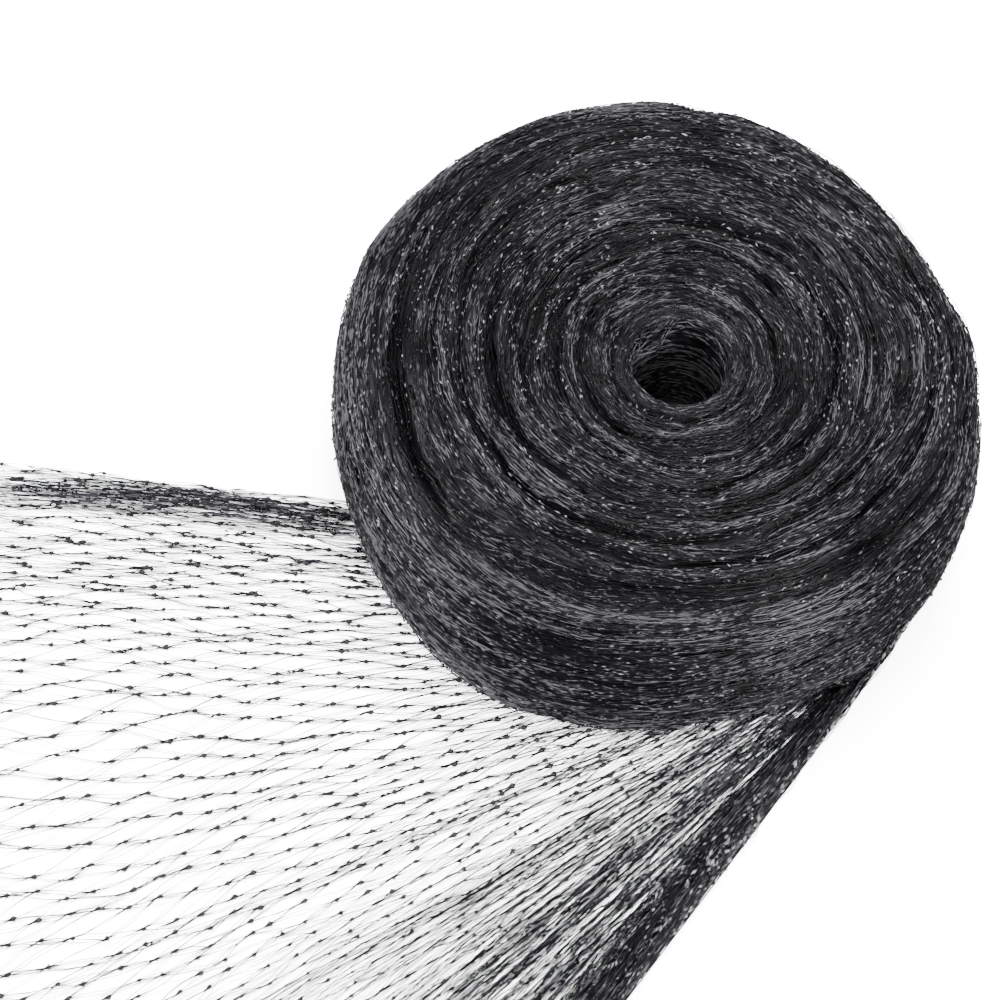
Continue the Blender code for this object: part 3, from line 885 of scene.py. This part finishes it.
def fan_place(distance, direction_deg):
    """A place on the fan: straight out from the leaving point, with a waving end and a bowed back edge."""
    part = (distance - FAN_START) / (FAN_LENGTH - FAN_START)
    angle = np.radians(bunched(distance, direction_deg))
    reach = distance + END_WAVE * part ** 4 * np.sin(END_WAVE_RATE * angle)
    back = 1 - smooth((direction_deg - FAN_BACK_DEG) / BACK_BOW_SPREAD_DEG)
    bow = BACK_BOW * back * np.sin(math.pi * np.clip(part, 0, 1))
    x = LEAVES_X + reach * np.cos(angle) + bow * np.sin(angle)
    y = LEAVES_Y + reach * np.sin(angle) - bow * np.cos(angle)
    return x, y


def fan_thickness(x, y, direction_deg):
    """How thick the fan is: one net, plus the bells of its folds, pressed flat under and near the roll."""
    azimuth_deg = np.degrees(np.arctan2(y - CORE_Y, x - CORE_X))
    edge = outline_radius(azimuth_deg) + foot_reach(azimuth_deg, 0) + PRESSED_MARGIN
    return NET_THICKNESS + rises_at(FOLDS, direction_deg) * smooth((from_core(x, y) - edge) / SWELL_LENGTH)


def lift_off(distance, direction_deg):
    """How high the front selvedge still is above the table: it sinks from the roll's side by an even S."""
    at_front = smooth((direction_deg - LIFT_OFF_FROM_DEG) / LIFT_OFF_OVER_DEG)
    return LIFT_OFF * (1 - smooth(distance / LIFT_OFF_LENGTH)) * at_front


def front_share(distance):
    """How many degrees wide the dark bunch at the front is, against near the roll: it hardly widens."""
    return np.minimum(FRONT_EVEN_AT / np.maximum(distance, 0.02), 1)


# How close the columns of knots stand in each layer: a base, a rise towards the front, and bells where the
# net is gathered.
COLUMN_BASE = 0.67
COLUMN_RISE = 0.46
COLUMN_RISE_FROM_DEG = 200
COLUMN_RISE_OVER_DEG = 24
COLUMN_BELLS = (
    Stretch(170.6, 1.4, 0.9),
    Stretch(175.5, 4.5, 1),
    Stretch(204.5, 0.8, 0.5),
    Stretch(212, 1.2, 0.5),
    Stretch(221, 1, 0.7),
    Stretch(227, 1.5, 1),
    Stretch(230.6, 0.7, 6),
)


def column_density(direction_deg):
    """Columns of knots to a degree."""
    rise = COLUMN_RISE * smooth((direction_deg - COLUMN_RISE_FROM_DEG) / COLUMN_RISE_OVER_DEG)
    return COLUMN_BASE + rise + rises_at(COLUMN_BELLS, direction_deg)


fan_degrees = np.linspace(FAN_BACK_DEG + 0.2, FAN_FRONT_DEG - 0.1, 800)
fan_counted = np.cumsum(column_density(fan_degrees)) * (fan_degrees[1] - fan_degrees[0])
FAN_COLUMNS = int(fan_counted[-1]) - 1
FAN_ROWS = 17
ROW_STEP = 0.0199
KNOT_STRAY = 0.0011      # along the fan, each knot by itself
ROW_WAVE = 0.003         # along the fan, with its neighbours
COLUMN_STRAY = 0.0085    # along the fan, a whole column where they crowd
CROWD_STRAY = 0.0024     # along the fan, each knot by itself where they crowd
COLUMN_WAVE = 0.8        # across the fan, with its neighbours, in columns
COLUMN_SHIFT = 0.14      # across the fan, each knot by itself, in columns
KNOT_ROOM = 0.0007       # from a knot's middle to the table and to the top of the fan
BAR_WIDTH = 0.00025
BAR_POINTS = 5
BAR_THICKER = 0.8        # at its knots, where the filaments run together, by this share
BAR_SPREAD = 0.0008      # how far the two filaments of a bar lie apart halfway
BAR_KINK = 0.00016
BAR_SAG = 0.0006
BAR_BUNCH_DEG = 4.6      # bars this near the front edge belong to the dark bunch

FanKnots = namedtuple("FanKnots", "place direction distance")


def column_direction(column):
    """The direction in which a column of knots runs out, from the count of columns up to it."""
    return np.interp(column, fan_counted, fan_degrees)


def layer_knots(first, seed):
    """The knots of one layer, by row and column: every other row half a column over, all a little out of
    place, and each column a little further out or in than the next where they crowd."""
    chance = np.random.default_rng(seed)
    row, column = np.meshgrid(np.arange(FAN_ROWS), np.arange(FAN_COLUMNS), indexing="ij")
    crowd = smooth((column_density(column_direction(column + 0.5)) - 0.8) / 0.8)
    distance = FAN_START + first + row * ROW_STEP + chance.normal(0, KNOT_STRAY, row.shape)
    distance = distance + ROW_WAVE * wander(row / FAN_ROWS, column, 5, 5, seed + 1)
    distance = distance + crowd * chance.uniform(-COLUMN_STRAY, COLUMN_STRAY, (1, FAN_COLUMNS))
    distance = distance + crowd * chance.normal(0, CROWD_STRAY, row.shape)
    distance = np.clip(distance, FAN_START, FAN_LENGTH)
    shift = COLUMN_WAVE * wander(row / FAN_ROWS, column, 5, 5, seed + 2)
    shift = shift + chance.normal(0, COLUMN_SHIFT, row.shape)
    direction = column_direction(column + 0.5 * (row % 2) + 0.4 + shift)
    x, y = fan_place(distance, direction)
    z = KNOT_ROOM + (fan_thickness(x, y, direction) - 2 * KNOT_ROOM) * chance.random(row.shape)
    return FanKnots(np.stack([x, y, z + lift_off(distance, direction)], axis=-1), direction, distance)


def net_bars(name, knots, seed):
    """The bars from each knot to the two nearest of the next row, each of two filaments that lie apart in
    the middle: sideways by an even S, so that they leave the knots straight along the column. They are
    lighter near the roll, darker in the front bunch, and thinner on the back edge and far out in front."""
    chance = np.random.default_rng(seed)
    share = np.linspace(0, 1, BAR_POINTS)
    row, column, step = np.meshgrid(np.arange(FAN_ROWS - 1), np.arange(FAN_COLUMNS), (0, 1), indexing="ij")
    over = column + np.where(row % 2 == 0, step - 1, step)
    kept = (over >= 0) & (over < FAN_COLUMNS) & (knots.distance[row, column] < FAN_LENGTH - 0.004)
    row, column, over = (np.repeat(index[kept], 2) for index in (row, column, over))
    each = (len(row), 1)

    def between(values, part):
        """A knot's value at the start, the next knot's at the end, and parts of the way between."""
        start, end = values[row, column][:, None], values[row + 1, over][:, None]
        return start + (end - start) * part

    direction = between(knots.direction, 0.45 * share + 0.55 * smooth(share))
    distance = between(knots.distance, share)
    height = between(knots.place[..., 2], share)
    bow = np.sin(math.pi * share)
    slack = chance.normal(0, BAR_SPREAD, each) * bow + chance.normal(0, BAR_KINK, distance.shape) * bow
    direction = direction + np.degrees(slack / np.maximum(distance, 0.02))
    x, y = fan_place(distance, direction)
    height = height + BAR_SAG * bow * chance.uniform(-1, 1, each)
    centres = np.stack([x, y, np.maximum(height, 0.5 * BAR_WIDTH)], axis=-1)
    thicker = BAR_THICKER * (1 - 0.6 * smooth((direction - 203) / 10))
    near = smooth((0.15 - distance) / 0.11) * smooth((227.5 - direction) / 5)
    back_edge = smooth((0.26 - distance) / 0.1) * smooth((174 - direction) / 2)
    far_front = smooth((distance - 0.14) / 0.1) * smooth((direction - 200) / 10)
    width = BAR_WIDTH * chance.uniform(0.6, 1.25, each) * (1 + thicker * np.abs(2 * share - 1) ** 6)
    width = width * (1 - 0.12 * near - 0.6 * back_edge - 0.22 * far_front)
    in_bunch = direction > FAN_FRONT_DEG - BAR_BUNCH_DEG * front_share(distance)
    tone = chance.random(each) + 0.7 * near - 0.4 * in_bunch
    return strand_piece(name, centres, facing_up(centres), width, tone, 0, chance)


bar_finish = streaked_glint_finish(
    "net_bar", scale=(120, 1), distortion=0, contrast=2, tone_share=0.35,
    stops=((0.3, 0.01), (0.8, 0.024), (1, 0.2)), roughness=0.45, specular=0.16, bump=0.2)

lower_knots = layer_knots(0.002, 51)
upper_knots = layer_knots(0.0118, 61)
net_layers = [net_bars("net_layer_lower", lower_knots, 55), net_bars("net_layer_upper", upper_knots, 65)]

FAN_KNOT_LENGTH = 0.004
FAN_KNOT_WIDTH = 0.00195
FAN_KNOT_RINGS = ((-0.55, 1), (-0.05, 0.6))      # thick towards the roll, where two bars cross, then thin


def level(direction_deg):
    """The level direction at an angle, of length 1."""
    angle = np.radians(direction_deg)
    return np.stack([np.cos(angle), np.sin(angle), np.zeros_like(angle)], axis=-1)


def crossing_knots(name, layers, seed):
    """The knots of the layers, each drawn out along the fan, smaller where the net is drawn tighter."""
    chance = np.random.default_rng(seed)
    place = np.concatenate([knots.place.reshape(-1, 3) for knots in layers])
    direction = np.concatenate([knots.direction.ravel() for knots in layers])
    count = len(direction)
    tighter = 1 - 0.3 * smooth((direction - 204) / 10)
    ahead = level(direction + chance.normal(0, 8, count))
    length = FAN_KNOT_LENGTH * chance.uniform(0.7, 1.35, count) * tighter
    width = FAN_KNOT_WIDTH * chance.uniform(0.7, 1.15, count) * tighter
    # Only the knots in the front bunch get a painted glint; the rest stay near black.
    tone = 0.9 * chance.random(count) ** 2 * (direction > 226.5)
    return knot_piece(name, place, ahead, facing_up(ahead), length, width, FAN_KNOT_RINGS, tone)


fan_knots = crossing_knots("fan_knots", (lower_knots, upper_knots), 66)

# On both selvedges the knots lie on top of each other, and at the front the uppermost get painted glints,
# as on the roll.
BAND_KNOTS = 1000
BACK_KNOTS = 250
BAND_KNOT_LENGTH = 0.003
BACK_KNOT_LENGTH = 0.0042
BAND_KNOT_WIDTH = 0.00105
BAND_SPREAD_DEG = 6.5
BACK_MIDDLE_DEG = 171.1


def selvedge_knots(name, seed):
    """Knots piled on the front bunch, and then on the back selvedge: in front within a band that grows no
    wider past its share, at the back about its middle. In front they are thinner, and their painted glints
    dimmer further out; at the back they have none."""
    chance = np.random.default_rng(seed)
    count = BAND_KNOTS + BACK_KNOTS
    at_back = np.arange(count) >= BAND_KNOTS
    distance = FAN_START + (FAN_LENGTH - FAN_START) * chance.random(count)
    distance = np.where(at_back, 0.115 + 0.65 * distance, distance)
    front_deg = FAN_FRONT_DEG + 0.1 - BAND_SPREAD_DEG * front_share(distance) * chance.random(count) ** 1.4
    back_deg = BACK_MIDDLE_DEG + chance.normal(0, 1, count) * BACK_EVEN_AT / np.maximum(distance, 0.08)
    direction = np.where(at_back, np.clip(back_deg, FAN_BACK_DEG + 0.3, 176), front_deg)
    x, y = fan_place(distance, direction)
    near = 1 - smooth((distance - 0.09) / 0.13)
    z = np.maximum(fan_thickness(x, y, direction), 0.005 * smooth((direction - 227.5) / 2))
    z = z * chance.uniform(0.75, 1.1, count) + 0.0004 + lift_off(distance, direction)
    ahead = level(direction + chance.normal(0, 14, count) * np.where(at_back, 0.4, 1))
    length = np.where(at_back, BACK_KNOT_LENGTH, BAND_KNOT_LENGTH) * chance.uniform(0.5, 1.4, count)
    width = BAND_KNOT_WIDTH * (0.7 + 0.3 * near) * chance.uniform(0.6, 1.3, count)
    tone = chance.random(count) ** (1.3 + 1.2 * (direction < 227))
    tone = tone * (direction > 200) * (0.3 + 0.7 * near)
    place = np.stack([x, y, z], axis=1)
    return knot_piece(name, place, ahead, facing_up(ahead), length, width, ((0, 1),), tone)


band_knots = selvedge_knots("band_knots", 72)

# Long strands lie along both selvedges and out of the dense front of the fan, over and under the mesh.
Selvedge = namedtuple("Selvedge", "name count middle_deg spread_deg low_deg high_deg nearest later seed")
BACK_SELVEDGE = Selvedge("back_selvedge", 95, BACK_MIDDLE_DEG, 1.15, 169.2, 175.2, FAN_START, 0.075, 67)
FRONT_SELVEDGE = Selvedge("front_selvedge", 110, 230.3, 1, 226.5, 231.5, FAN_START, 0, 68)
DRAWN_OUT = Selvedge("drawn_out_strands", 200, 221, 6, 204, 231, FAN_START + 0.045, 0, 69)
SELVEDGE_POINTS = 14
SELVEDGE_STRAND = 0.00026
SELVEDGE_BUNCH_DEG = 5.6   # strands this near the front edge belong to the dark bunch


def selvedge_strands(selvedge):
    """Strands straight out along the fan at their own directions, crowding about the selvedge's middle, with
    a slow wave sideways and their own height in the fan. The back selvedge is drawn to its middle, and the
    front one to its edge, so that neither grows wider further out."""
    chance = np.random.default_rng(selvedge.seed)
    each = (selvedge.count, 1)
    middle = selvedge.middle_deg
    direction = chance.normal(middle, selvedge.spread_deg, each)
    direction = np.clip(direction, selvedge.low_deg, selvedge.high_deg)
    start = chance.uniform(selvedge.nearest, 0.5 * FAN_LENGTH, each) + selvedge.later
    length = chance.uniform(0.1, 0.22, each)
    distance = np.minimum(start + length * np.linspace(0, 1, SELVEDGE_POINTS), FAN_LENGTH)
    distance = distance + np.linspace(0, 0.001, SELVEDGE_POINTS)
    if selvedge is BACK_SELVEDGE:
        direction = direction + (direction - middle) * (BACK_EVEN_AT / np.maximum(distance, 0.08) - 1)
    if selvedge is FRONT_SELVEDGE:
        direction = FAN_FRONT_DEG + (direction - FAN_FRONT_DEG) * front_share(distance)
    wave = 0.0012 * np.sin(distance / 0.017 + chance.uniform(0, 6.3, each))
    wave = wave + chance.normal(0, 0.00022, distance.shape)
    direction = direction + np.degrees(wave / np.maximum(distance, 0.03))
    direction = np.clip(direction, FAN_BACK_DEG, FAN_FRONT_DEG)
    x, y = fan_place(distance, direction)
    z = 0.0004 + (fan_thickness(x, y, direction) - 0.0006) * chance.random(each)
    centres = np.stack([x, y, z + lift_off(distance, direction)], axis=-1)
    width = SELVEDGE_STRAND * chance.uniform(0.7, 1.2, each)
    width = width * (1 - 0.25 * smooth((distance - 0.14) / 0.1))
    in_bunch = direction >= FAN_FRONT_DEG - SELVEDGE_BUNCH_DEG * front_share(distance)
    lighter = np.where(direction < 180, 0.45, np.where(in_bunch, -0.4 + 0.3 * (distance > 0.15), 0.3))
    tone = chance.random(each) + lighter
    return strand_piece(selvedge.name, centres, facing_up(centres), width, tone, 0, chance)


long_strands = [selvedge_strands(selvedge) for selvedge in (BACK_SELVEDGE, FRONT_SELVEDGE, DRAWN_OUT)]
fan_pieces = [*net_layers, band_knots, *long_strands, fan_knots]
for piece in fan_pieces:
    piece.data.materials.append(glint_knot_finish if piece in (band_knots, fan_knots) else bar_finish)
    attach(piece, "root")


# ---- The strands that leave the roll -----------------------------------------------------------------
# The outer strands come round the right of the roll, sink towards the table and run straight out along the
# front selvedge. A few more lie loose at the foot of the roll, on the fan.
LEAVING_COUNT = 330
LEAVING_POINTS = 20
LEAVING_LOW = 0.001      # the lowest of them at the leaving point
LEAVING_TOP = 0.014      # and the highest
LEAVING_SPREAD_DEG = 5.5
LEAVING_SHADE = 0.05


def strands_off_roll(name, seed):
    """Strands by their run, which is 0 where the net leaves. Before it, each follows the roll's side, higher
    up further back; after it, each runs straight out along its own way and sinks to its rest by an even S,
    and is pulled in from the side's bulge to the leaving radius."""
    chance = np.random.default_rng(seed)
    each = (LEAVING_COUNT, 1)
    before = chance.uniform(0.03, 0.12, each)
    after = chance.uniform(0.1, 0.3, each)
    run = -before + (before + after) * np.linspace(0, 1, LEAVING_POINTS)
    height = LEAVING_LOW + (LEAVING_TOP - LEAVING_LOW) * chance.random(each)
    side = roll_table[int(TABLE_COLUMNS * ((LEAVES_DEG / 360) % 1))]
    side_ends = (int(TABLE_ROWS * end / SECTION_LENGTH) for end in (FACE_END, SIDE_END))
    rows = np.arange(*side_ends)[::-1]
    label = np.interp(height, side[rows, 1], rows * SECTION_LENGTH / TABLE_ROWS)
    higher = -(label - FACE_END) * chance.uniform(0.2, 0.9, each)
    back = np.minimum(run, 0)
    turn = LEAVES_DEG / 360 - back / (math.pi * (LEAVES_RADIUS + OUTER_RADIUS))
    own = label + higher * smooth(-back / 0.13) + chance.normal(0, 0.0003, run.shape)
    centres, outward = on_roll(turn, own, 0.0002 + 0.0007 * chance.random(each))
    down = smooth(run / chance.uniform(0.035, 0.065, each))
    spread = LEAVING_SPREAD_DEG * chance.random(each) ** 2 * front_share(run + 0.03)
    bulge = np.maximum(from_core(centres[..., 0], centres[..., 1]) - LEAVES_RADIUS, 0)
    pull = bulge * smooth((run + 0.01) / 0.022)
    centres += np.maximum(run, 0)[..., None] * level(FAN_FRONT_DEG - spread)
    centres -= pull[..., None] * level(LEAVES_DEG)
    rest = 0.0004 + 0.0045 * chance.random(each)
    centres[..., 2] = np.maximum(centres[..., 2] * (1 - down) + rest * down, 0.0003)
    width = STRAND_WIDTH * chance.uniform(0.7, 1.2, each)
    tone = 0.5 * chance.random(each) - 0.2
    return strand_piece(name, centres, outward, width, tone, LEAVING_SHADE, chance)


FOOT_COUNT = 200
FOOT_POINTS = 10
FOOT_SPREAD = 0.003      # they lie this far out from the roll's foot
FOOT_PILE = 0.006
FOOT_SHADE = 0.1


def strands_at_foot(name, seed):
    """Strands along the roll's foot on its front left: each a short way round the outline on the ground, a
    little out from it with a wave, and piled up against it by (1 - share of the spread) squared."""
    chance = np.random.default_rng(seed)
    each = (FOOT_COUNT, 1)
    azimuth_deg = chance.uniform(-168, -78, each) + np.linspace(-13, 13, FOOT_POINTS)
    out = FOOT_SPREAD * chance.random(each) ** 1.6
    out = out + 0.001 * np.sin(azimuth_deg / 4 + chance.uniform(0, 6.3, each))
    radius = floor_radius(azimuth_deg) + foot_reach(azimuth_deg, 0) + out
    height = NET_THICKNESS + FOOT_PILE * (1 - np.clip(out / FOOT_SPREAD, 0, 1)) ** 2
    centres = round_core(radius, np.radians(azimuth_deg), height * chance.uniform(0.4, 1, each))
    outward = unit(level(azimuth_deg) + facing_up(centres))
    width = SELVEDGE_STRAND * chance.uniform(0.7, 1.2, each)
    return strand_piece(name, centres, outward, width, 0.3 * chance.random(each), FOOT_SHADE, chance)


leaving_strands = strands_off_roll("leaving_strands", 81)
foot_strands = strands_at_foot("foot_strands", 82)
for piece in (leaving_strands, foot_strands):
    piece.data.materials.append(strand_finish)
    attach(piece, "root")


# ---- The finest filaments of the fan -----------------------------------------------------------------
# Between the bars lie split filaments too fine to see one by one: a grey haze over the table that thickens
# towards both selvedges. They are drawn as one thin see-through sheet, top and bottom.
HAZE_ACROSS = 124
HAZE_ALONG = 40
HAZE_FLOOR = 0.0001
HAZE_SUNK = 0.0004       # its top lies this far below the top of the fan
HAZE_FRONT_DEG = 231
HAZE_FRONT_SPREAD_DEG = 2.8
HAZE_BACK_DEG = 170.4
HAZE_BACK_SPREAD_DEG = 1.4


def haze_sheet(name):
    """A closed sheet over the fan's distances and directions: its top just below the top of the fan, its
    bottom on the table, and a wall all round. Its density is a little everywhere, more over the front and
    near the roll, and a bell over each selvedge."""
    out, across = (np.linspace(0, 1, count) for count in (HAZE_ALONG, HAZE_ACROSS))
    out, across = np.meshgrid(out, across, indexing="ij")
    distance = FAN_START + out * (FAN_LENGTH - FAN_START)
    direction = FAN_BACK_DEG + across * (FAN_FRONT_DEG - FAN_BACK_DEG)
    x, y = fan_place(distance, direction)
    lift = lift_off(distance, direction)
    top = fan_thickness(x, y, direction) - HAZE_SUNK + lift
    points = np.concatenate([np.stack([x, y, z], axis=-1).reshape(-1, 3) for z in (top, HAZE_FLOOR + lift)])
    count = out.size
    index = np.arange(count).reshape(out.shape)
    quads = [index[:-1, :-1], index[1:, :-1], index[1:, 1:], index[:-1, 1:]]
    quads = np.stack(quads, axis=-1).reshape(-1, 4)
    rim = np.concatenate([index[0, :], index[1:, -1], index[-1, -2::-1], index[-2:0:-1, 0]])
    ahead = np.roll(rim, -1)
    wall = np.stack([rim, ahead, ahead + count, rim + count], axis=1)
    uv = np.tile(np.stack([direction.ravel(), distance.ravel()], axis=1), (2, 1))
    front = smooth((direction - 199) / 14) * (0.07 + 0.3 * smooth((0.17 - distance) / 0.11))
    front_spread_deg = HAZE_FRONT_SPREAD_DEG * front_share(distance)
    bells = np.exp(-(((direction - HAZE_FRONT_DEG) / front_spread_deg) ** 2))
    bells = bells + 0.3 * np.exp(-(((direction - HAZE_BACK_DEG) / HAZE_BACK_SPREAD_DEG) ** 2))
    density = np.tile((0.05 + front + 0.45 * bells).ravel(), 2)
    return mesh_piece(name, points, [quads, quads[:, ::-1] + count, wall], uv, {"density": density})


haze_finish, haze_tree = new_finish("filament_haze")
haze_shader = haze_tree.nodes["Principled BSDF"]
haze_shader.inputs["Base Color"].default_value = (0.1, 0.1, 0.105, 1)
haze_shader.inputs["Roughness"].default_value = 0.5
haze_place = new_node(haze_tree, "UVMap", uv_map="along")
haze_drawn = new_node(haze_tree, "Mapping", {"Scale": (7, 12, 1)})
haze_noise = new_node(haze_tree, "TexNoise", {"Scale": 1, "Detail": 3})
haze_patches = new_node(haze_tree, "Math", {1: 4, 2: -1}, operation="MULTIPLY_ADD")
haze_density = new_node(haze_tree, "Attribute", attribute_name="density")
haze_cover = new_node(haze_tree, "Math", operation="MULTIPLY")
haze_alpha = new_node(haze_tree, "Clamp", {"Max": 0.95})
wired(
    haze_tree,
    (haze_place, "UV", haze_drawn, "Vector"),
    (haze_drawn, "Vector", haze_noise, "Vector"),
    (haze_noise, "Fac", haze_patches, 0),
    (haze_patches, "Value", haze_cover, 0),
    (haze_density, "Fac", haze_cover, 1),
    (haze_cover, "Value", haze_alpha, "Value"),
    (haze_alpha, "Result", haze_shader, "Alpha"),
)

net_veil = haze_sheet("net_veil")
net_veil.data.materials.append(haze_finish)
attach(net_veil, "root")
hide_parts("net_sheet")
